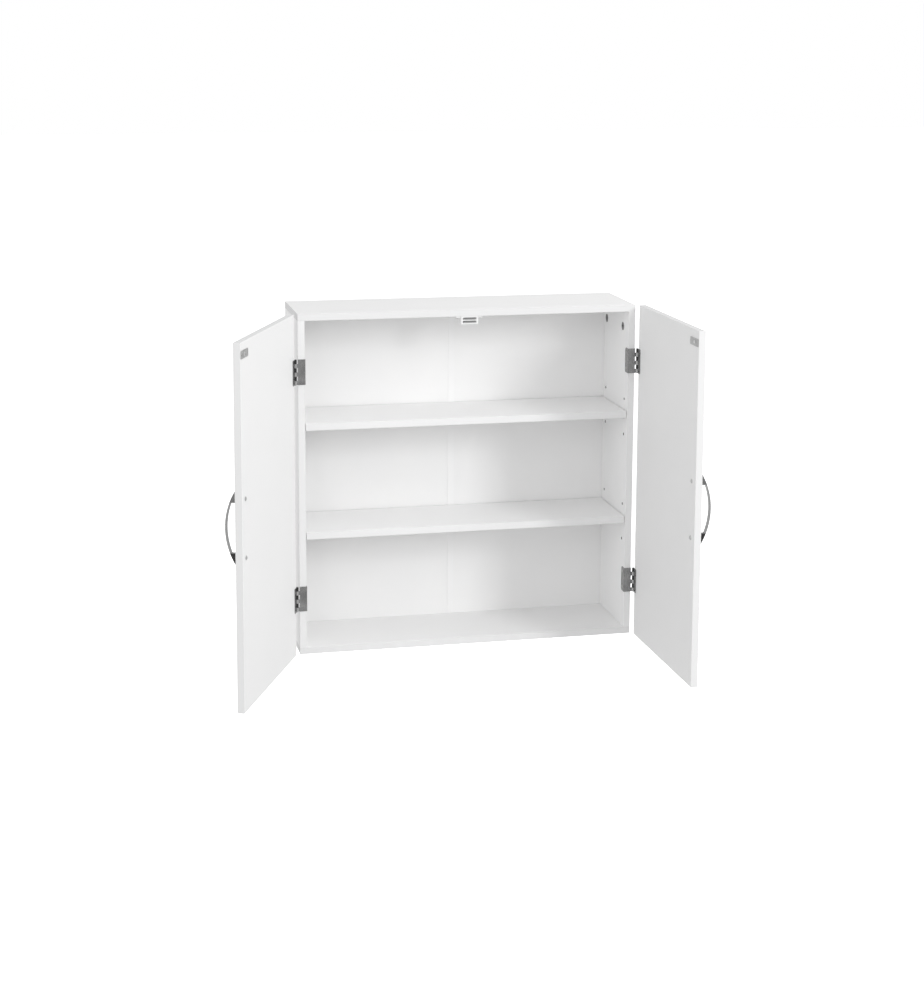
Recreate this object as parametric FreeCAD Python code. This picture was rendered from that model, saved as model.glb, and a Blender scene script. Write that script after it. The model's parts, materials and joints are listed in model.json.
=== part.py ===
import FreeCAD
import Part
import math
import os

# Hanging wall cabinet: an open-fronted box of 12 mm white boards with two adjustable shelves and two
# overlay doors on wrap-around butt hinges. Millimetres. X runs along the wall, to the right for someone
# facing the cabinet, Y runs into the wall and Z is up. The origin is on the wall plane, midway between
# the round entries of the two keyhole hangers.

V = FreeCAD.Vector
X, Y, Z = V(1, 0, 0), V(0, 1, 0), V(0, 0, 1)

# carcass
width = 600.0
height = 600.0
depth = 160.0
board = 12.0
edge_round = 0.5
back_thickness = 3.0
back_recess = 9.0
groove_depth = 5.0
groove_slack = 0.1
panel_slack = 0.5
fit_gap = 0.05

# hangers
hanger_line = 560.0
hanger_spacing = 546.0
hanger_plate = 1.5
hanger_leaf = 26.0
hanger_below = 12.0
hanger_above = 26.0
entry_radius = 5.0
slot_radius = 2.75
slot_rise = 10.0

# shelves on a 32 mm pin grid, symmetric about mid height
pin_pitch = 32.0
shelf_level = 96.0
pin_front = 20.0
pin_rear = 132.5
pin_radius = 2.5
pin_hole_depth = 9.0
shelf_above_pin = 1.0
shelf_front = 1.0
shelf_rear_gap = 1.6
shelf_end_gap = 1.0

# cam fittings that pull the top panel down on the sides
cam_radius = 7.5
cam_recess = 9.5
cam_thickness = 9.0
cam_drop = 31.0
cam_positions = (35.0, 133.0)
bolt_bore = 3.2
bolt_shank = 2.0
bolt_head = 2.8
bolt_thread = 2.5
bolt_thread_length = 9.0

# dowels and the screws under the bottom panel
dowel_radius = 3.0
dowel_in_panel = 8.0
dowel_in_side = 16.0
dowel_position = 84.0
bottom_screw_positions = (35.0, 125.0)
bottom_screw_radius = 2.0
bottom_screw_head = 4.0
bottom_screw_length = 40.0

# doors, drawn closed and then turned to their rest angle
door_gap = 2.5
door_board = 12.0
door_width = 299.0
rest_angle = {"left": 114.0, "right": 91.0}

# hinges
pivot_out = 4.0
hinge_levels = {"upper": 500.0, "lower": 100.0}
hinge_height = 44.0
knuckles = 6
knuckle_gap = 0.3
knuckle_radius = 2.0
pin_wire = 1.1
bore_clearance = 0.05
leaf = 1.1
frame_leaf_reach = 15.0
frame_leaf_chamfer = 3.0
door_leaf_reach = 10.0
leaf_screw_offset = 14.0
frame_screw_from_front = 9.0
door_screw_from_edge = 5.5

# small countersunk and pan-head screws
csk_head = 2.6
csk_depth = 1.2
screw_radius = 1.4
screw_length = 9.5
pan_head = 3.0
pan_height = 1.8
cross_width = 0.8
cross_depth = 0.6

# bow handles
handle_centre = 300.0
handle_pitch = 96.0
handle_from_edge = 18.0
handle_arc = 115.0
handle_reach = 21.4
handle_strap = 2.6
handle_width = 7.0
handle_foot_inner = 41.0
handle_screw_radius = 2.0
handle_screw_grip = 7.0
handle_screw_head = 4.0

# magnetic catch under the top panel
catch_width = 31.0
catch_height = 14.0
catch_depth = 14.0
catch_set_back = 0.5
catch_wall = 1.5
ear_width = 48.0
ear_thickness = 3.0
ear_depth = 10.0
ear_screw = 20.0
pole_width = 22.0
pole_thickness = 1.6
pole_pitch = 5.6
pole_proud = 1.7
pole_length = 12.0
pole_slot = 3.2
magnet_length = 8.0

# strike plates on the doors
strike_length = 38.0
strike_height = 13.0
strike_thickness = 1.0
strike_from_top = 20.0
strike_from_edge = 0.5

# back joining strip, an H section
strip_width = 11.0
strip_flange = 0.8
strip_web = 1.0

# levels and planes worked out from the above
wall = 0.0
front = wall - depth
bottom = -hanger_line
top = bottom + height
floor_z = bottom + board
ceiling_z = top - board
inner_x = width / 2 - board
outer_x = width / 2
mid_side = width / 2 - board / 2
back_rear = wall - back_recess
back_front = back_rear - back_thickness
pivot_x = outer_x + pivot_out
pivot_y = front - door_gap / 2
door_inner = front - door_gap
door_outer = door_inner - door_board


def box(x, y, z):
    """A block from (low, high) pairs."""
    return Part.makeBox(x[1] - x[0], y[1] - y[0], z[1] - z[0], V(x[0], y[0], z[0]))


def rod(radius, length, start, direction):
    return Part.makeCylinder(radius, length, start, direction)


def fuse(shapes):
    shapes = list(shapes)
    return shapes[0].multiFuse(shapes[1:]).removeSplitter()


def cut(shape, tools):
    return shape.cut(list(tools))


def mirrored(shape):
    """The same piece on the other side of the cabinet."""
    return shape.mirror(V(0, 0, 0), X)


def rounded(block, radius):
    return block.makeFillet(radius, block.Edges)


def panel(x, y, z):
    """A board with its edges eased."""
    return rounded(box(x, y, z), edge_round)


def cross_slot(centre, axis, radius):
    """The driver's cross cut into a screw head whose face is at centre and looks along axis."""
    inward = axis * -cross_depth
    side = X if abs(axis.dot(X)) < 0.5 else Y
    other = axis.cross(side)
    bars = []
    for along, across in ((side, other), (other, side)):
        half = along * (radius * 0.62)
        thick = across * (cross_width / 2)
        corners = [centre - half - thick, centre + half - thick, centre + half + thick, centre - half + thick]
        face = Part.Face(Part.makePolygon(corners + corners[:1]))
        bars.append(face.extrude(inward))
    return bars


def countersunk_screw(face, axis, head=csk_head, depth_=csk_depth, radius=screw_radius, length=screw_length):
    """A screw whose flat head is flush at face and whose point goes the other way from axis."""
    inward = axis * -1
    cone = Part.makeCone(head, radius, depth_, face, inward)
    shank = rod(radius, length - depth_ - radius, face + inward * depth_, inward)
    point = Part.makeCone(radius, 0.2, radius, face + inward * (length - radius), inward)
    return cut(fuse([cone, shank, point]), cross_slot(face, axis, head))


def countersunk_hole(face, axis, head=csk_head, depth_=csk_depth, radius=screw_radius, length=screw_length):
    """The hole for that screw, a little larger all round."""
    inward = axis * -1
    cone = Part.makeCone(head + fit_gap, radius + fit_gap, depth_, face, inward)
    shank = rod(radius + fit_gap, length - depth_ + fit_gap, face + inward * depth_, inward)
    return cone.fuse(shank)


def pan_screw(face, axis, head=pan_head, rise=pan_height, radius=screw_radius, length=screw_length):
    """A screw whose domed head sits on face and stands out along axis."""
    inward = axis * -1
    dome_radius = (head ** 2 + rise ** 2) / (2 * rise)
    ball = Part.makeSphere(dome_radius, face + axis * (rise - dome_radius))
    dome = ball.common(rod(head, rise, face, axis))
    shank = rod(radius, length, face, inward)
    return cut(fuse([dome, shank]), cross_slot(face + axis * rise, axis, head * 0.8))


def pan_hole(face, axis, radius=screw_radius, length=screw_length):
    return rod(radius + fit_gap, length + fit_gap, face, axis * -1)


# The pieces of the carcass. The right side is drawn, and the left side is its mirror image.


def pin_levels():
    """Heights of the shelf-pin holes above the underside, three for each shelf."""
    middle = height / 2
    return [middle + s * shelf_level + k * pin_pitch for s in (-1, 1) for k in (-1, 0, 1)]


def shelf_levels():
    """Height of the pins in use above the underside."""
    return {"lower": height / 2 - shelf_level, "upper": height / 2 + shelf_level}


def back_groove(x, z):
    y = (back_front - groove_slack, back_rear + groove_slack)
    return box(x, y, z)


def cam_centres():
    return [V(inner_x, front + p, ceiling_z - cam_drop) for p in cam_positions]


def leaf_screw_faces():
    """Where the cabinet leaves' screws enter, on the inner face of the leaves."""
    x, y = inner_x - leaf, front + frame_screw_from_front
    levels = [bottom + h + s * leaf_screw_offset for h in hinge_levels.values() for s in (-1, 1)]
    return [V(x, y, z) for z in levels]


def hanger_screw_faces():
    """Where the hanger screws enter, on the inner face of the hanger's flange."""
    y = (back_rear + wall - hanger_plate) / 2
    return [V(inner_x - hanger_plate, y, z) for z in (-hanger_below + 5, hanger_above - 5)]


def side_panel():
    body = panel((inner_x, outer_x), (front, wall), (floor_z, ceiling_z))
    tools = [back_groove((inner_x - 1, inner_x + groove_depth), (floor_z - 1, ceiling_z + 1))]
    for level in pin_levels():
        for p in (pin_front, pin_rear):
            tools.append(rod(pin_radius, pin_hole_depth, V(inner_x, front + p, bottom + level), X))
    for c in cam_centres():
        tools.append(rod(cam_radius, cam_recess, c, X))
        tools.append(rod(bolt_bore, cam_drop, V(mid_side, c.y, c.z), Z))
    for z, way in ((ceiling_z, -Z), (floor_z, Z)):
        tools.append(rod(dowel_radius, dowel_in_side, V(mid_side, front + dowel_position, z), way))
    for p in bottom_screw_positions:
        into = bottom_screw_length - board + 1
        tools.append(rod(bottom_screw_radius + fit_gap, into, V(mid_side, front + p, floor_z), Z))
    tools += [countersunk_hole(face, -X) for face in leaf_screw_faces()]
    tools += [pan_hole(face, -X) for face in hanger_screw_faces()]
    return cut(body, tools)


def top_panel():
    body = panel((-outer_x, outer_x), (front, wall), (ceiling_z, top))
    span = (-inner_x - groove_depth, inner_x + groove_depth)
    tools = [back_groove(span, (ceiling_z - 1, ceiling_z + groove_depth))]
    for side in (-1, 1):
        for c in cam_centres():
            tools.append(rod(bolt_thread, bolt_thread_length, V(side * mid_side, c.y, ceiling_z), Z))
        tools.append(rod(dowel_radius, dowel_in_panel, V(side * mid_side, front + dowel_position, ceiling_z), Z))
    tools += [pan_hole(face, -Z) for face in catch_screw_faces()]
    return cut(body, tools)


def bottom_panel():
    body = panel((-outer_x, outer_x), (front, wall), (bottom, floor_z))
    span = (-inner_x - groove_depth, inner_x + groove_depth)
    tools = [back_groove(span, (floor_z - groove_depth, floor_z + 1))]
    for side in (-1, 1):
        for p in bottom_screw_positions:
            tools.append(bottom_screw_hole(V(side * mid_side, front + p, bottom)))
        tools.append(rod(dowel_radius, dowel_in_panel, V(side * mid_side, front + dowel_position, floor_z), -Z))
    return cut(body, tools)


def bottom_screw_hole(face):
    return countersunk_hole(face, -Z, bottom_screw_head, 2.6, bottom_screw_radius, bottom_screw_length)


def bottom_screw(face):
    return countersunk_screw(face, -Z, bottom_screw_head, 2.6, bottom_screw_radius, bottom_screw_length)


def back_panel():
    """The right half of the back, held in the grooves and by the strip at the middle."""
    reach = groove_depth - panel_slack
    x = (strip_web / 2 + fit_gap, inner_x + reach)
    return box(x, (back_front, back_rear), (floor_z - reach, ceiling_z + reach))


def joining_strip():
    """A plastic H section that holds the two halves of the back together."""
    z = (floor_z, ceiling_z)
    half = strip_width / 2
    flanges = [
        box((-half, half), (back_front - strip_flange, back_front), z),
        box((-half, half), (back_rear, back_rear + strip_flange), z),
    ]
    web = box((-strip_web / 2, strip_web / 2), (back_front - strip_flange, back_rear + strip_flange), z)
    return fuse(flanges + [web])


def shelf(pin_level):
    low = bottom + pin_level + shelf_above_pin
    end = inner_x - shelf_end_gap
    return panel((-end, end), (front + shelf_front, back_front - shelf_rear_gap), (low, low + board))


def shelf_pin(place):
    """A plug-in support: a round pin in the side panel and a flat tongue under the shelf."""
    tongue_length, half_width, under = 7.0, 3.5, 2.5
    pin = rod(pin_radius - fit_gap, pin_hole_depth - 1, place, X)
    x = (place.x - tongue_length, place.x)
    z = (place.z - under, place.z + shelf_above_pin)
    tongue = box(x, (place.y - half_width, place.y + half_width), z)
    collar = rod(pin_radius + 1.0, 1.0, place - X, X)
    collar = collar.common(box((place.x - 1, place.x), (place.y - 5, place.y + 5), (place.z - 5, z[1])))
    return fuse([pin, tongue, collar])


def shelf_pins(level):
    right = [shelf_pin(V(inner_x, front + p, bottom + level)) for p in (pin_front, pin_rear)]
    return Part.makeCompound(right + [mirrored(s) for s in right])


def cam_lock(centre):
    """A zinc cam: a drum with a driver slot in its face and a channel for the bolt's head."""
    face = centre + X * 0.2
    drum = rod(cam_radius - fit_gap, cam_thickness, face, X)
    channel = rod(bolt_bore, cam_radius + 3, V(mid_side, centre.y, centre.z - 2.5), Z)
    half = cam_radius * 0.7
    slot = box((face.x, face.x + 1.6), (face.y - half, face.y + half), (face.z - 0.8, face.z + 0.8))
    cross = box((face.x, face.x + 1.6), (face.y - 0.8, face.y + 0.8), (face.z - half, face.z + half))
    return cut(drum, [channel, slot, cross])


def cam_bolt(centre):
    """The bolt that stands down from the top panel into the cam."""
    x, y = mid_side, centre.y
    thread = rod(bolt_thread - fit_gap, bolt_thread_length - 0.5, V(x, y, ceiling_z), Z)
    collar = rod(bolt_bore - 0.3, 1.5, V(x, y, ceiling_z - 1.5), Z)
    shank = rod(bolt_shank, cam_drop - 1, V(x, y, centre.z + 1), Z)
    head = rod(bolt_head, 2.5, V(x, y, centre.z - 1.5), Z)
    return fuse([thread, collar, shank, head])


def dowels():
    """Four hardwood dowels, one at each corner of the box."""
    made = []
    for side in (-1, 1):
        for z, into in ((ceiling_z, -1), (floor_z, 1)):
            x, y = side * mid_side, front + dowel_position
            ends = sorted((z + into * (dowel_in_side - 0.5), z - into * (dowel_in_panel - 0.5)))
            made.append(rod(dowel_radius - fit_gap, ends[1] - ends[0], V(x, y, ends[0]), Z))
    return Part.makeCompound(made)


def hanger():
    """The right hanger: an angle plate with a keyhole, screwed to the side behind the back panel."""
    z = (-hanger_below, hanger_above)
    leaf_plate = box((inner_x - hanger_leaf, inner_x), (wall - hanger_plate, wall), z)
    flange = box((inner_x - hanger_plate, inner_x), (back_rear + 0.5, wall), z)
    centre = hanger_spacing / 2
    entry = rod(entry_radius, back_recess, V(centre, -back_recess, 0), Y)
    slot = box((centre - slot_radius, centre + slot_radius), (-back_recess, wall), (0, slot_rise))
    seat = rod(slot_radius, back_recess, V(centre, -back_recess, slot_rise), Y)
    holes = [pan_hole(face, -X) for face in hanger_screw_faces()]
    body = fuse([leaf_plate, flange])
    edges = [e for e in body.Edges if abs(e.BoundBox.YLength - hanger_plate) < 1e-6
             and abs(e.BoundBox.XMin - (inner_x - hanger_leaf)) < 1e-6]
    return cut(body.makeFillet(4.0, edges), [entry, slot, seat] + holes)


# The magnetic catch.


def catch_screw_faces():
    """Under the catch's ears."""
    y = front + catch_set_back + ear_depth / 2 + 2
    return [V(side * ear_screw, y, ceiling_z - ear_thickness) for side in (-1, 1)]


def pole_levels():
    middle = ceiling_z - catch_height / 2 + 0.2
    return [middle - pole_pitch / 2, middle + pole_pitch / 2]


def catch_body():
    """A white plastic housing with two mouths for the pole plates, open at the rear."""
    y0 = front + catch_set_back
    shell = box((-catch_width / 2, catch_width / 2), (y0, y0 + catch_depth), (ceiling_z - catch_height, ceiling_z))
    upright = [e for e in shell.Edges if e.BoundBox.ZLength > catch_height - 0.1]
    shell = shell.makeFillet(1.5, upright)
    ears = box((-ear_width / 2, ear_width / 2), (y0 + 2, y0 + 2 + ear_depth), (ceiling_z - ear_thickness, ceiling_z))
    upright = [e for e in ears.Edges if e.BoundBox.ZLength > ear_thickness - 0.1]
    ears = ears.makeFillet(3.0, upright)
    low, high = pole_levels()
    clear = (pole_slot - pole_thickness) / 2
    room = box(
        (-pole_width / 2 - 0.8, pole_width / 2 + 0.8),
        (y0 + catch_wall, y0 + catch_depth + 1),
        (low - pole_thickness / 2 - clear, high + pole_thickness / 2 + clear),
    )
    mouths = [
        box(
            (-pole_width / 2 - 0.8, pole_width / 2 + 0.8),
            (y0 - 1, y0 + catch_wall + 1),
            (level - pole_slot / 2, level + pole_slot / 2),
        )
        for level in (low, high)
    ]
    holes = [rod(screw_radius + 0.2, ear_thickness + 2, face - Z, Z) for face in catch_screw_faces()]
    return cut(fuse([shell, ears]), [room] + mouths + holes)


def pole_plates():
    """Two steel plates that stand a little out of the housing, one each side of the magnet."""
    y0 = front + catch_set_back - pole_proud
    plates = [
        box(
            (-pole_width / 2, pole_width / 2),
            (y0, y0 + pole_length),
            (level - pole_thickness / 2, level + pole_thickness / 2),
        )
        for level in pole_levels()
    ]
    return Part.makeCompound(plates)


def magnet():
    low, high = pole_levels()
    y1 = front + catch_set_back - pole_proud + pole_length
    z = (low + pole_thickness / 2, high - pole_thickness / 2)
    return box((-pole_width / 2 + 1, pole_width / 2 - 1), (y1 - magnet_length, y1), z)


# The hinges, drawn for the right side with the door closed.


def knuckle_span(index, centre):
    """Low and high z of one knuckle, counted from the top, with half the running gap off each end."""
    each = hinge_height / knuckles
    high = centre + hinge_height / 2 - index * each
    return (high - each + knuckle_gap / 2, high - knuckle_gap / 2)


def knuckle_set(centre, first, arm_y):
    """Every second knuckle with the arm that joins it to its leaf."""
    made = []
    for index in range(first, knuckles, 2):
        low, high = knuckle_span(index, centre)
        made.append(rod(knuckle_radius, high - low, V(pivot_x, pivot_y, low), Z))
        made.append(box((outer_x - 0.5, pivot_x), arm_y, (low, high)))
    return made


def pin_bore(centre):
    return rod(pin_wire + bore_clearance, hinge_height + 2, V(pivot_x, pivot_y, centre - hinge_height / 2 - 1), Z)


def frame_leaf(centre):
    """The leaf that covers the side's front edge and turns in along its inner face."""
    z = (centre - hinge_height / 2, centre + hinge_height / 2)
    cover = box((inner_x - leaf, outer_x), (front - leaf, front), z)
    wing = box((inner_x - leaf, inner_x), (front - leaf, front + frame_leaf_reach), z)
    corners = [e for e in wing.Edges if e.BoundBox.XLength > leaf - 0.1 and e.BoundBox.YMin > front + 1]
    wing = wing.makeChamfer(frame_leaf_chamfer, corners)
    body = fuse([cover, wing])
    bend = [e for e in body.Edges if e.BoundBox.ZLength > hinge_height - 0.1
            and abs(e.BoundBox.XMin - inner_x + leaf) < 1e-6 and abs(e.BoundBox.YMin - front + leaf) < 1e-6]
    body = body.makeFillet(0.9, bend)
    body = fuse([body] + knuckle_set(centre, 1, (front - leaf, front)))
    holes = [countersunk_hole(face, -X) for face in leaf_screw_faces()]
    return cut(body, [pin_bore(centre)] + holes)


def door_leaf_screw_faces():
    x, y = outer_x - door_screw_from_edge, door_inner + leaf
    levels = [bottom + h + s * leaf_screw_offset for h in hinge_levels.values() for s in (-1, 1)]
    return [V(x, y, z) for z in levels]


def door_leaf(centre):
    """The leaf on the door's inner face."""
    z = (centre - hinge_height / 2, centre + hinge_height / 2)
    arm_y = (door_inner, door_inner + leaf)
    plate = box((outer_x - door_leaf_reach, outer_x), arm_y, z)
    corners = [e for e in plate.Edges if e.BoundBox.YLength > leaf - 0.1 and e.BoundBox.XMin < outer_x - 1]
    plate = plate.makeFillet(2.0, corners)
    body = fuse([plate] + knuckle_set(centre, 0, arm_y))
    holes = [countersunk_hole(face, Y) for face in door_leaf_screw_faces()]
    return cut(body, [pin_bore(centre)] + holes)


def hinge_pin(centre):
    """The wire through the knuckles, with a small head at each end."""
    z = centre - hinge_height / 2
    wire = rod(pin_wire, hinge_height, V(pivot_x, pivot_y, z), Z)
    low = Part.makeCone(pin_wire, pin_wire + 0.5, 0.5, V(pivot_x, pivot_y, z - 0.5), Z)
    high = Part.makeCone(pin_wire + 0.5, pin_wire, 0.5, V(pivot_x, pivot_y, z + hinge_height), Z)
    return fuse([wire, low, high])


# The doors, drawn for the right side and closed.


def handle_x():
    return outer_x - door_width + handle_from_edge


def handle_screw_places():
    levels = [bottom + handle_centre + s * handle_pitch / 2 for s in (-1, 1)]
    return [V(handle_x(), door_inner, z) for z in levels]


def strike_centre():
    x = outer_x - door_width + strike_from_edge + strike_length / 2
    return V(x, door_inner, top - strike_from_top)


def door_panel():
    body = panel((outer_x - door_width, outer_x), (door_outer, door_inner), (bottom, top))
    tools = [rod(handle_screw_radius + 0.2, door_board + 2, p + Y, -Y) for p in handle_screw_places()]
    tools += [countersunk_hole(face, Y) for face in door_leaf_screw_faces()]
    tools.append(pan_hole(strike_centre() + Y * strike_thickness, Y))
    return cut(body, tools)


def arc_region(radius, rise, half_length):
    """The flat region between the door's face and an arc of this radius that rises so far off it."""
    x = handle_x() - handle_width / 2
    z = bottom + handle_centre
    ends = [V(x, door_outer, z - half_length), V(x, door_outer, z + half_length)]
    crown = V(x, door_outer - rise, z)
    shoulder = rise - radius + math.sqrt(radius ** 2 - half_length ** 2)
    shoulders = [V(x, door_outer - shoulder, e.z) for e in ends]
    edges = [Part.Arc(shoulders[0], crown, shoulders[1]).toShape()]
    if shoulder > 1e-6:
        edges.append(Part.makeLine(shoulders[1], ends[1]))
    edges.append(Part.makeLine(ends[1], ends[0]))
    if shoulder > 1e-6:
        edges.append(Part.makeLine(ends[0], shoulders[0]))
    return Part.Face(Part.Wire(edges))


def handle():
    """A bow handle: an arched strap whose ends swell into wedge-shaped feet."""
    half_length = math.sqrt(handle_arc ** 2 - (handle_arc - handle_reach) ** 2)
    outer = arc_region(handle_arc, handle_reach, half_length).extrude(X * handle_width)
    inner = arc_region(handle_arc - handle_strap, handle_reach - handle_strap, handle_foot_inner)
    inner = inner.extrude(X * handle_width)
    body = outer.cut(inner)
    sides = (handle_x() - handle_width / 2, handle_x() + handle_width / 2)
    long_edges = [e for e in body.Edges if e.BoundBox.XLength < 0.01
                  and min(abs(e.BoundBox.XMin - s) for s in sides) < 0.01
                  and e.BoundBox.YMax < door_outer - 0.01 and e.Length > 50]
    body = body.makeFillet(0.6, long_edges)
    holes = [rod(handle_screw_radius + fit_gap, handle_screw_grip + 0.5, V(p.x, door_outer, p.z), -Y)
             for p in handle_screw_places()]
    return cut(body, holes)


def handle_screws():
    length = door_board + handle_screw_grip
    made = [
        pan_screw(p, Y, handle_screw_head, 2.0, handle_screw_radius, length)
        for p in handle_screw_places()
    ]
    return Part.makeCompound(made)


def strike_plate():
    """A steel plate with rounded ends, a pressed rim and a slotted screw hole."""
    c = strike_centre()
    x = (c.x - strike_length / 2, c.x + strike_length / 2)
    z = (c.z - strike_height / 2, c.z + strike_height / 2)
    plate = box(x, (c.y, c.y + strike_thickness), z)
    corners = [e for e in plate.Edges if e.BoundBox.YLength > strike_thickness - 0.1]
    plate = plate.makeFillet(2.5, corners)
    hollows = [
        box((c.x + s * 12.0 - 5.0, c.x + s * 12.0 + 5.0), (c.y + 0.6, c.y + 2), (c.z - 1.2, c.z + 1.2))
        for s in (-1, 1)
    ]
    slot = [rod(screw_radius + 0.2, 3, V(c.x + s, c.y - 1, c.z), Y) for s in (-1, 1)]
    slot.append(box((c.x - 1, c.x + 1), (c.y - 1, c.y + 2), (c.z - screw_radius - 0.2, c.z + screw_radius + 0.2)))
    return cut(plate, hollows + slot)


def opened(shape, side):
    """Puts a door piece, drawn closed for the right side, on its own side and turns it to its rest angle."""
    placed = shape if side == "right" else mirrored(shape)
    sign = 1 if side == "right" else -1
    placed.rotate(V(sign * pivot_x, pivot_y, 0), Z, sign * rest_angle[side])
    return placed


def on_side(shape, side):
    return shape if side == "right" else mirrored(shape)


def carcass_nodes():
    nodes = {
        "top_panel": top_panel(),
        "bottom_panel": bottom_panel(),
        "back_joining_strip": joining_strip(),
        "wood_dowels": dowels(),
        "catch_body": catch_body(),
        "catch_pole_plates": pole_plates(),
        "catch_magnet": magnet(),
        "catch_screws": Part.makeCompound([pan_screw(face, -Z) for face in catch_screw_faces()]),
    }
    for name, level in shelf_levels().items():
        nodes["shelf_" + name] = shelf(level)
        nodes["shelf_pins_" + name] = shelf_pins(level)
    for side in ("left", "right"):
        nodes["side_panel_" + side] = on_side(side_panel(), side)
        nodes["back_panel_" + side] = on_side(back_panel(), side)
        nodes["wall_hanger_" + side] = on_side(hanger(), side)
        cams = [cam_lock(c) for c in cam_centres()]
        bolts = [cam_bolt(c) for c in cam_centres()]
        below = [bottom_screw(V(mid_side, front + p, bottom)) for p in bottom_screw_positions]
        hanger_screws = [pan_screw(face, -X) for face in hanger_screw_faces()]
        groups = {"cam_locks_": cams, "cam_bolts_": bolts, "bottom_screws_": below, "wall_hanger_screws_": hanger_screws}
        for name, made in groups.items():
            nodes[name + side] = on_side(Part.makeCompound(made), side)
    return nodes


def hinge_nodes():
    nodes = {}
    for side in ("left", "right"):
        for name, level in hinge_levels.items():
            stem = "hinge_" + side + "_" + name
            nodes[stem + "_cabinet_leaf"] = on_side(frame_leaf(bottom + level), side)
            nodes[stem + "_pin"] = on_side(hinge_pin(bottom + level), side)
            nodes[stem + "_door_leaf"] = opened(door_leaf(bottom + level), side)
        into_side = Part.makeCompound([countersunk_screw(face, -X) for face in leaf_screw_faces()])
        into_door = Part.makeCompound([countersunk_screw(face, Y) for face in door_leaf_screw_faces()])
        nodes["cabinet_leaf_screws_" + side] = on_side(into_side, side)
        nodes["door_leaf_screws_" + side] = opened(into_door, side)
    return nodes


def door_nodes():
    nodes = {}
    for side in ("left", "right"):
        nodes["door_panel_" + side] = opened(door_panel(), side)
        nodes["bow_handle_" + side] = opened(handle(), side)
        nodes["handle_screws_" + side] = opened(handle_screws(), side)
        nodes["strike_plate_" + side] = opened(strike_plate(), side)
        strike_screw = pan_screw(strike_centre() + Y * strike_thickness, Y, 3.0, 0.8)
        nodes["strike_screw_" + side] = opened(strike_screw, side)
    return nodes


def main():
    os.makedirs("parts", exist_ok=True)
    nodes = {**carcass_nodes(), **hinge_nodes(), **door_nodes()}
    for name, shape in nodes.items():
        shape.exportStep("parts/" + name + ".step")
    print(len(nodes), "nodes")


main()
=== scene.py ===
import json
import math

import bpy
from mathutils import Matrix, Vector


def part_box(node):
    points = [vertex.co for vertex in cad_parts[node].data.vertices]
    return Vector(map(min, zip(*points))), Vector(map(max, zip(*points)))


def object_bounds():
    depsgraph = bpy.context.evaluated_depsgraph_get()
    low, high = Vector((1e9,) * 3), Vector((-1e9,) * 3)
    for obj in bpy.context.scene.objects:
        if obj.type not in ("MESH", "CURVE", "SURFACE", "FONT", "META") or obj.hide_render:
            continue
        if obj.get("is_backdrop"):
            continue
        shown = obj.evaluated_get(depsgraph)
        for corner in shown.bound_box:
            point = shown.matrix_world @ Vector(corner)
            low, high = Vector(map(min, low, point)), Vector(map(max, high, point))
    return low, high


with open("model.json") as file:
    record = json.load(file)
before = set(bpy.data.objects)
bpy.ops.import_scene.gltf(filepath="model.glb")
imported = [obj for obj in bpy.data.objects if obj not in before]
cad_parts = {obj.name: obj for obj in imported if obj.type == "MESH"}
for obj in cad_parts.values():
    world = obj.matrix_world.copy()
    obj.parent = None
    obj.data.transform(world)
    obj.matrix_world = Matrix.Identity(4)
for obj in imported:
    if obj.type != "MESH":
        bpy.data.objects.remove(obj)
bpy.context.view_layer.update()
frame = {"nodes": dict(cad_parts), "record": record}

# Looks for the hanging wall cabinet, in metres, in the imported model's own frame. The wall plane is Y = 0
# and the cabinet reaches towards -Y. Every CAD piece keeps its shape and gets a procedural material.

MM = 0.001
NODES = frame["nodes"]
# How far each door is turned from closed at rest, in degrees, anticlockwise seen from above.
REST_ANGLE = {"left": -114.0, "right": 91.0}


# Node helpers


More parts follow.
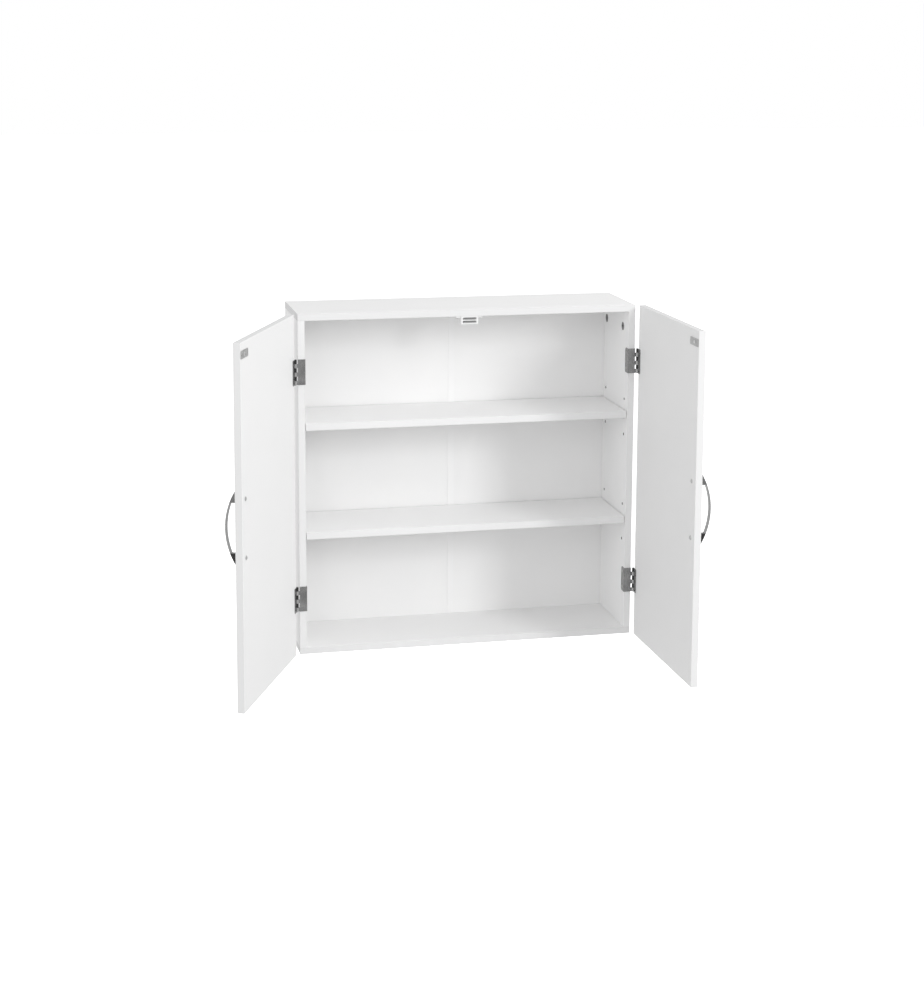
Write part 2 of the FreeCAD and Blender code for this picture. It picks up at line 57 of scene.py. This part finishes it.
class Surface:
    """A material under construction: its node tree, its Principled shader and its object coordinates."""

    def __init__(self, name, metallic=0.0, specular=0.5):
        self.mat = bpy.data.materials.new(name)
        self.mat.use_nodes = True
        self.tree = self.mat.node_tree
        self.shader = self.tree.nodes["Principled BSDF"]
        self.shader.inputs["Metallic"].default_value = metallic
        self.shader.inputs["Specular IOR Level"].default_value = specular
        self.coords = self.add("ShaderNodeTexCoord").outputs["Object"]

    def add(self, kind, **settings):
        node = self.tree.nodes.new(kind)
        for key, value in settings.items():
            setattr(node, key, value)
        return node

    def link(self, source, target):
        self.tree.links.new(source, target)

    def turned(self, source, degrees):
        """The same coordinates, turned about Z."""
        node = self.add("ShaderNodeVectorRotate", rotation_type="Z_AXIS")
        node.inputs["Angle"].default_value = math.radians(degrees)
        self.link(source, node.inputs["Vector"])
        return node.outputs["Vector"]

    def scaled(self, stretch):
        node = self.add("ShaderNodeMapping")
        node.inputs["Scale"].default_value = stretch
        self.link(self.coords, node.inputs["Vector"])
        return node.outputs["Vector"]

    def noise(self, size, detail=3.0, stretch=(1, 1, 1)):
        """Noise whose blobs are about size metres across."""
        node = self.add("ShaderNodeTexNoise")
        node.inputs["Scale"].default_value = 1.0 / size
        node.inputs["Detail"].default_value = detail
        self.link(self.scaled(stretch), node.inputs["Vector"])
        return node.outputs["Fac"]

    def remap(self, source, low, high, start=0.3, end=0.7):
        """Takes start..end to low..high and clamps what lies outside. Noise mostly lies in 0.3..0.7."""
        node = self.add("ShaderNodeMapRange")
        for key, value in (("From Min", start), ("From Max", end), ("To Min", low), ("To Max", high)):
            node.inputs[key].default_value = value
        self.link(source, node.inputs["Value"])
        return node.outputs["Result"]

    def math(self, operation, a, b=None):
        node = self.add("ShaderNodeMath", operation=operation)
        for slot, value in enumerate((a, b)):
            if isinstance(value, (int, float)):
                node.inputs[slot].default_value = value
            elif value is not None:
                self.link(value, node.inputs[slot])
        return node.outputs[0]

    def mix(self, factor, a, b):
        """Mixes two colours, each a tuple or a socket."""
        node = self.add("ShaderNodeMix", data_type="RGBA")
        self.link(factor, node.inputs[0])
        for slot, value in ((6, a), (7, b)):
            if isinstance(value, tuple):
                node.inputs[slot].default_value = (*value, 1.0)
            else:
                self.link(value, node.inputs[slot])
        return node.outputs[2]

    def bump(self, *layers):
        """Stacks (height socket, depth in metres, strength) layers on the shader's normal."""
        normal = None
        for height, depth, strength in layers:
            node = self.add("ShaderNodeBump")
            node.inputs["Distance"].default_value = depth
            node.inputs["Strength"].default_value = strength
            self.link(height, node.inputs["Height"])
            if normal:
                self.link(normal, node.inputs["Normal"])
            normal = node.outputs["Normal"]
        self.link(normal, self.shader.inputs["Normal"])

    def edge_mask(self, radius):
        """1 on edges sharper than radius, 0 on open faces."""
        bevel = self.add("ShaderNodeBevel", samples=4)
        bevel.inputs["Radius"].default_value = radius
        normal = self.add("ShaderNodeNewGeometry").outputs["Normal"]
        dot = self.add("ShaderNodeVectorMath", operation="DOT_PRODUCT")
        self.link(bevel.outputs["Normal"], dot.inputs[0])
        self.link(normal, dot.inputs[1])
        return self.remap(dot.outputs["Value"], 1.0, 0.0, 0.75, 0.98)

    def colour(self, source):
        self.link(source, self.shader.inputs["Base Color"])

    def roughness(self, source):
        self.link(source, self.shader.inputs["Roughness"])


def paint(obj, surface):
    obj.data.materials.clear()
    obj.data.materials.append(surface.mat)


# Materials

# The axis that each board's thickness runs along, with the doors closed.
BOARD_AXIS = {
    "top_panel": 2, "bottom_panel": 2, "shelf_upper": 2, "shelf_lower": 2,
    "side_panel_left": 0, "side_panel_right": 0, "door_panel_left": 1, "door_panel_right": 1,
}
# The whites of each kind of board: its faces, then its edge banding. These differences are painted light and
# shade: each white is set to how bright that surface looks under the light, lighter for the sides, darker for
# the doors and the banding.
BOARD_WHITES = {
    "door_panel": (0.83, 0.755),
    "side_panel": (0.91, 0.80),
    "top_panel": (0.87, 0.74),
    "bottom_panel": (0.87, 0.755),
    "shelf": (0.89, 0.78),
}
# Painted shade: the doors' outer faces are darker than their inner faces, so that the lit front of a closed
# door does not wash out to white.
DOOR_OUTSIDE_SHADED_WHITE = 0.77
BANDING = 0.9 * MM
GLUE_LINE_HALF = 0.14 * MM
GLUE_GREY = 0.5
# Raw chipboard, far darker than it really is: painted shade in the bores and grooves.
CHIPBOARD_IN_SHADE = ((0.025, 0.021, 0.017), (0.07, 0.058, 0.045))
STREAKED_UP = (1.0, 1.0, 0.04)
# The dark reflection painted on the handle's feet fades in between these distances above and below its
# middle.
HANDLE_FOOT = (40 * MM, 42 * MM)
# The upper foot, then the lower: its direction from the handle's middle, and the tone of the painted dark
# reflection on it.
FOOT_REFLECTION_TONE = ((1, 0.24), (-1, 0.06))
KNUCKLE_RADIUS = 2.0 * MM
# The knuckles' painted tones: a painted highlight on the cabinet leaf's knuckles, painted shade on the door
# leaf's.
KNUCKLE_HIGHLIGHT_SHADE_TONE = {"cabinet": 0.58, "door": 0.07}


def tone(value, warmth=0.0):
    """A grey that is slightly warm, or slightly cool if warmth is negative."""
    return (value * (1 + warmth), value, value * (1 - warmth))


def inset_from_ends(surface, socket, low, high):
    """Distance from the nearer end of the span low..high, in metres."""
    return surface.math(
        "MINIMUM", surface.math("SUBTRACT", socket, low), surface.math("SUBTRACT", high, socket))


def board_white(name, node, axis, white, band, turn=0.0):
    """White melamine on a board whose thickness runs along axis, once it is turned back to closed.

    The rim has edge banding with its glue line, and bores and grooves show the raw chipboard core, painted
    darker as shade in the bores.
    """
    s = Surface(name, specular=0.2)
    points, normals = s.coords, s.add("ShaderNodeTexCoord").outputs["Normal"]
    if turn:
        points, normals = s.turned(points, -turn), s.turned(normals, -turn)
    spin = Matrix.Rotation(math.radians(-turn), 3, "Z")
    corners = [spin @ v.co for v in NODES[node].data.vertices]
    split_point, split_normal = s.add("ShaderNodeSeparateXYZ"), s.add("ShaderNodeSeparateXYZ")
    s.link(points, split_point.inputs[0])
    s.link(normals, split_normal.inputs[0])
    inset = [
        inset_from_ends(
            s, split_point.outputs[k], min(c[k] for c in corners), max(c[k] for c in corners))
        for k in range(3)
    ]
    depth = inset[axis]
    from_outline = s.math("MINIMUM", *(inset[k] for k in range(3) if k != axis))
    facing = s.math("ABSOLUTE", split_normal.outputs[axis])
    core = s.math(
        "MULTIPLY",
        s.remap(from_outline, 0.0, 1.0, BANDING, BANDING + 0.2 * MM),
        s.remap(depth, 0.0, 1.0, 0.03 * MM, 0.1 * MM),
    )
    rim = s.remap(facing, 1.0, 0.0, 0.55, 0.75)
    from_line = s.math("ABSOLUTE", s.math("SUBTRACT", depth, BANDING))
    line = s.math("MULTIPLY", rim, s.remap(from_line, 1.0, 0.0, 0.03 * MM, GLUE_LINE_HALF))
    cloud = s.noise(0.16, 2.0)
    face = s.mix(s.remap(cloud, 0.0, 1.0), tone(white), tone(white + 0.01, 0.001))
    # Paints the outer face of a door darker, as painted shade.
    if turn:
        outside = s.remap(split_normal.outputs[axis], 1.0, 0.0, -0.9, -0.1)
        face = s.mix(outside, face, tone(DOOR_OUTSIDE_SHADED_WHITE))
    banded = s.mix(rim, face, tone(band, -0.001))
    lined = s.mix(s.math("MULTIPLY", line, 0.3), banded, tone(GLUE_GREY))
    # Darkens the edges a little: partly wear, partly painted shade along the edges and seams.
    worn = s.mix(s.math("MULTIPLY", s.edge_mask(0.5 * MM), 0.10), lined, tone(0.6, 0.02))
    chips = s.noise(1.2 * MM, 3.0)
    # The bores' raw chipboard, with painted shade in its dark colour.
    raw = s.mix(s.remap(chips, 0.0, 1.0), *CHIPBOARD_IN_SHADE)
    s.colour(s.mix(core, worn, raw))
    smear = s.remap(s.noise(0.05, 4.0), 0.50, 0.58)
    rougher = s.math("ADD", s.math("MULTIPLY", rim, 0.06), s.math("MULTIPLY", core, 0.45))
    s.roughness(s.math("ADD", smear, rougher))
    s.bump(
        (s.noise(0.03, 2.0), 0.12 * MM, 0.5),
        (s.noise(1.6 * MM, 2.0), 0.015 * MM, 0.5),
        (s.math("MULTIPLY", line, -1.0), 0.05 * MM, 0.6),
        (s.math("MULTIPLY", core, chips), 0.4 * MM, 0.8),
    )
    return s


def plain_surface(name, light, dark, rough, metallic=0.0, specular=0.5, cloud=0.02, grain=1.0 * MM,
                  stretch=(1, 1, 1), relief=0.01 * MM, wear=0.0):
    """A surface with cloudy tone, streaked or speckled grain in its roughness and relief, and lighter edges
    that are partly wear and partly a painted highlight.
    """
    s = Surface(name, metallic, specular)
    fine = s.noise(grain, 4.0, stretch)
    broad = s.noise(cloud, 3.0)
    base = s.mix(s.remap(broad, 0.0, 1.0), dark, light)
    base = s.mix(s.remap(fine, 0.0, 0.35), base, dark)
    if wear:
        # Lightens the edges: partly wear, partly a painted highlight.
        edge = s.math("MULTIPLY", s.edge_mask(0.3 * MM), s.remap(broad, wear * 0.5, wear))
        base = s.mix(edge, base, tuple(min(1.0, c * 1.6) for c in light))
    s.base = base
    s.colour(base)
    s.roughness(s.math("ADD", s.remap(fine, rough[0], rough[1]), s.remap(broad, -0.03, 0.03)))
    s.bump((fine, relief, 0.6), (broad, relief * 2, 0.4))
    return s


def hardboard_white():
    """The painted face of the back panels, with a faint fibre."""
    s = Surface("white_hardboard", specular=0.4)
    fibre = s.noise(3.0 * MM, 5.0, (1, 1, 0.35))
    cloud = s.noise(0.12, 3.0)
    s.colour(s.mix(s.remap(cloud, 0.0, 1.0), tone(0.86), tone(0.875, 0.002)))
    s.roughness(s.remap(fibre, 0.46, 0.56))
    s.bump((fibre, 0.03 * MM, 0.5), (cloud, 0.4 * MM, 0.3))
    return s


def metal(name, light, dark, rough, **more):
    return plain_surface(name, tone(light), tone(dark), rough, metallic=1.0, **more)


def hinge_steel(name):
    return metal(name, 0.38, 0.24, (0.18, 0.32), grain=0.7 * MM, stretch=STREAKED_UP, wear=0.6)


def handle_surface():
    """Brushed metal with a dark reflection painted on its feet, darkest on the lower foot."""
    s = metal("handle_metal", 0.50, 0.42, (0.22, 0.32), grain=0.5 * MM, stretch=STREAKED_UP, wear=0.4)
    low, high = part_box("bow_handle_left")
    middle = (low.z + high.z) / 2
    split = s.add("ShaderNodeSeparateXYZ")
    s.link(s.coords, split.inputs[0])
    colour = s.base
    # Paints the dark reflection onto each foot.
    for side, dark in FOOT_REFLECTION_TONE:
        start, end = (middle + side * reach for reach in HANDLE_FOOT)
        colour = s.mix(s.remap(split.outputs["Z"], 0.0, 1.0, start, end), colour, tone(dark))
    s.colour(colour)
    return s


def hinge_leaf_surface(side, leaf):
    """Hinge steel with a painted highlight on the cabinet leaf's knuckles and painted shade on the door
    leaf's knuckles.
    """
    s = hinge_steel("hinge_" + side + "_" + leaf)
    low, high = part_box("hinge_" + side + "_upper_pin")
    flat = s.add("ShaderNodeVectorMath", operation="MULTIPLY")
    s.link(s.coords, flat.inputs[0])
    flat.inputs[1].default_value = (1, 1, 0)
    from_pin = s.add("ShaderNodeVectorMath", operation="DISTANCE")
    s.link(flat.outputs["Vector"], from_pin.inputs[0])
    from_pin.inputs[1].default_value = ((low.x + high.x) / 2, (low.y + high.y) / 2, 0)
    inside, outside = KNUCKLE_RADIUS + 0.1 * MM, KNUCKLE_RADIUS + 0.5 * MM
    # Paints the knuckles: a highlight on the cabinet leaf, shade on the door leaf.
    knuckle_paint = s.remap(from_pin.outputs["Value"], 1.0, 0.0, inside, outside)
    s.colour(s.mix(knuckle_paint, s.base, tone(KNUCKLE_HIGHLIGHT_SHADE_TONE[leaf])))
    return s


def materials_by_slot():
    """One finish for each material slot that is not a board."""
    return {
        "white_back_board": hardboard_white(),
        "white_strip": plain_surface("strip_plastic", tone(0.885), tone(0.875), (0.38, 0.46)),
        "white_plastic": plain_surface(
            "catch_plastic", tone(0.82), tone(0.80), (0.25, 0.33), relief=0.006 * MM),
        "hinge_steel": hinge_steel("hinge_steel"),
        "handle_metal": handle_surface(),
        "strike_steel": metal("strike_steel", 0.60, 0.45, (0.34, 0.50), grain=0.9 * MM, wear=0.5),
        "pole_steel": metal("pole_steel", 0.50, 0.40, (0.40, 0.55), grain=0.6 * MM),
        "ferrite_magnet": plain_surface("ferrite", tone(0.05), tone(0.03), (0.6, 0.75), relief=0.03 * MM),
        "zinc_fitting": metal("zinc_fitting", 0.36, 0.26, (0.42, 0.58), grain=0.8 * MM, wear=0.4),
        "shelf_pin_steel": metal("shelf_pin_steel", 0.55, 0.45, (0.28, 0.4), grain=0.6 * MM),
        "hanger_steel": metal("hanger_steel", 0.55, 0.42, (0.34, 0.5), grain=1.5 * MM, cloud=0.006, wear=0.5),
        "screw_steel": metal("screw_steel", 0.55, 0.42, (0.28, 0.42), grain=0.4 * MM, wear=0.5),
        # Painted highlight: the brightest steel, standing for the glint on the strike's screw head.
        "screw_painted_glint": metal("screw_painted_glint", 0.86, 0.78, (0.34, 0.44), grain=0.4 * MM, wear=0.3),
        "dull_screw": metal("dull_screw", 0.66, 0.56, (0.34, 0.44), grain=0.4 * MM, wear=0.3),
        "dowel_beech": plain_surface(
            "dowel_beech", (0.62, 0.44, 0.26), (0.48, 0.32, 0.18), (0.55, 0.7),
            grain=0.8 * MM, stretch=STREAKED_UP, relief=0.05 * MM),
    }


def board_surface(node):
    white, band = next(whites for start, whites in BOARD_WHITES.items() if node.startswith(start))
    turn = REST_ANGLE[node.rsplit("_", 1)[-1]] if node.startswith("door_panel") else 0.0
    return board_white("white_" + node, node, BOARD_AXIS[node], white, band, turn)


def finish_pieces():
    """Gives every piece its material."""
    by_slot = materials_by_slot()
    leaves = {
        (side, leaf): hinge_leaf_surface(side, leaf)
        for side in REST_ANGLE for leaf in KNUCKLE_HIGHLIGHT_SHADE_TONE
    }
    for entry in frame["record"]["subparts"]:
        node = entry["node"]
        if node in BOARD_AXIS:
            surface = board_surface(node)
        elif node.endswith("_leaf"):
            _, side, _, leaf, _ = node.split("_")
            surface = leaves[side, leaf]
        # The strike's screw gets the brightest steel as a painted highlight on its head.
        elif node.startswith("strike_screw"):
            surface = by_slot["screw_painted_glint"]
        elif node.startswith("handle_screws"):
            surface = by_slot["dull_screw"]
        else:
            surface = by_slot[entry["material_slot"]]
        paint(NODES[node], surface)


# Stage, light and camera

FLOOR_DROP = 0.9
FLOOR_SIZE = 60.0
AMBIENT = 0.70
SOFTBOX_DISTANCE = 4.0
# Name, azimuth and elevation in degrees, width and height in metres, power in watts.
SOFTBOXES = (
    ("right_key", 31, 21, 0.5, 1.2, 41.0),
    ("right_fill", 45, 35, 2.0, 2.0, 29.5),
    ("right_top", 85, 60, 2.0, 2.0, 6.5),
    ("left_low", -35, 15, 2.0, 2.0, 15.5),
    ("left_high", -35, 35, 2.0, 2.0, 14.0),
    ("front_top", 10, 60, 2.0, 2.0, 5.0),
    ("rear", 180, -10, 2.0, 2.0, 20.0),
)
# These are left out of reflections: their glare would hide the top board's outline from behind.
NO_GLARE = ("right_key", "right_fill")
# The camera's place in metres from the cabinet's middle, front and underside, and its turn in radians.
CAMERA_RIGHT, CAMERA_FORWARD, CAMERA_UP = -0.7603, -3.3049, 1.1036
CAMERA_YAW, CAMERA_DOWN, CAMERA_ROLL = -0.2222, 0.15783, 0.00511
CAMERA_LENS = 71.38
CAMERA_SHIFT_Y = -0.17


def stage_surface():
    """Pale paper that glows enough to read as white."""
    s = Surface("pale_floor", specular=0.1)
    cloud = s.noise(0.9, 2.0)
    s.colour(s.mix(s.remap(cloud, 0.0, 1.0), tone(0.93), tone(0.95)))
    s.roughness(s.remap(cloud, 0.8, 0.9))
    s.bump((s.noise(0.01, 2.0), 0.1 * MM, 0.2))
    s.shader.inputs["Emission Color"].default_value = (1, 1, 1, 1)
    s.shader.inputs["Emission Strength"].default_value = 0.8
    return s


def floor():
    """The floor that the camera sees. It lights nothing and shows in no reflection."""
    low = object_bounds()[0]
    bpy.ops.mesh.primitive_grid_add(size=FLOOR_SIZE, location=(0, 0, low.z - FLOOR_DROP))
    obj = bpy.context.object
    obj.name = "floor"
    obj.data.materials.append(stage_surface().mat)
    obj.visible_diffuse = False
    obj.visible_glossy = False
    obj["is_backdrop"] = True


def softbox(name, azimuth, elevation, width, height, power, aim):
    """An area light that looks at aim. Azimuth 0 is straight in front, positive to the right."""
    side, rise = math.radians(azimuth), math.radians(elevation)
    way = Vector((math.sin(side) * math.cos(rise), -math.cos(side) * math.cos(rise), math.sin(rise)))
    light = bpy.data.lights.new(name, "AREA")
    light.shape = "RECTANGLE"
    light.size, light.size_y = width, height
    light.energy = power
    obj = bpy.data.objects.new(name, light)
    bpy.context.scene.collection.objects.link(obj)
    obj.location = aim + way * SOFTBOX_DISTANCE
    obj.rotation_euler = way.to_track_quat("Z", "Y").to_euler()
    obj.visible_glossy = name not in NO_GLARE


def studio():
    """The softboxes and the even surround, which is pure white to the camera."""
    low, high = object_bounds()
    for softbox_values in SOFTBOXES:
        softbox(*softbox_values, (low + high) / 2)
    world = bpy.data.worlds.new("studio")
    world.use_nodes = True
    tree = world.node_tree
    lit, seen = tree.nodes["Background"], tree.nodes.new("ShaderNodeBackground")
    for shade, strength in ((lit, AMBIENT), (seen, 1.0)):
        shade.inputs["Color"].default_value = (1, 1, 1, 1)
        shade.inputs["Strength"].default_value = strength
    path = tree.nodes.new("ShaderNodeLightPath")
    choose = tree.nodes.new("ShaderNodeMixShader")
    tree.links.new(path.outputs["Is Camera Ray"], choose.inputs[0])
    tree.links.new(lit.outputs[0], choose.inputs[1])
    tree.links.new(seen.outputs[0], choose.inputs[2])
    tree.links.new(choose.outputs[0], tree.nodes["World Output"].inputs["Surface"])
    bpy.context.scene.world = world
    bpy.context.scene.view_settings.view_transform = "Standard"


def camera():
    """The view from the left of the cabinet and above it, turned a little to the right and down."""
    data = bpy.data.cameras.new("camera")
    data.sensor_width = 36.0
    data.lens = CAMERA_LENS
    data.shift_y = CAMERA_SHIFT_Y
    data.clip_end = 200.0
    obj = bpy.data.objects.new("camera", data)
    bpy.context.scene.collection.objects.link(obj)
    front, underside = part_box("side_panel_left")[0].y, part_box("bottom_panel")[0].z
    place = Vector((CAMERA_RIGHT, front + CAMERA_FORWARD, underside + CAMERA_UP))
    turn = Matrix.Rotation(CAMERA_YAW, 4, "Z") @ Matrix.Rotation(math.pi / 2 - CAMERA_DOWN, 4, "X")
    obj.matrix_world = Matrix.Translation(place) @ turn @ Matrix.Rotation(CAMERA_ROLL, 4, "Z")
    bpy.context.scene.camera = obj


finish_pieces()
camera()
studio()
floor()
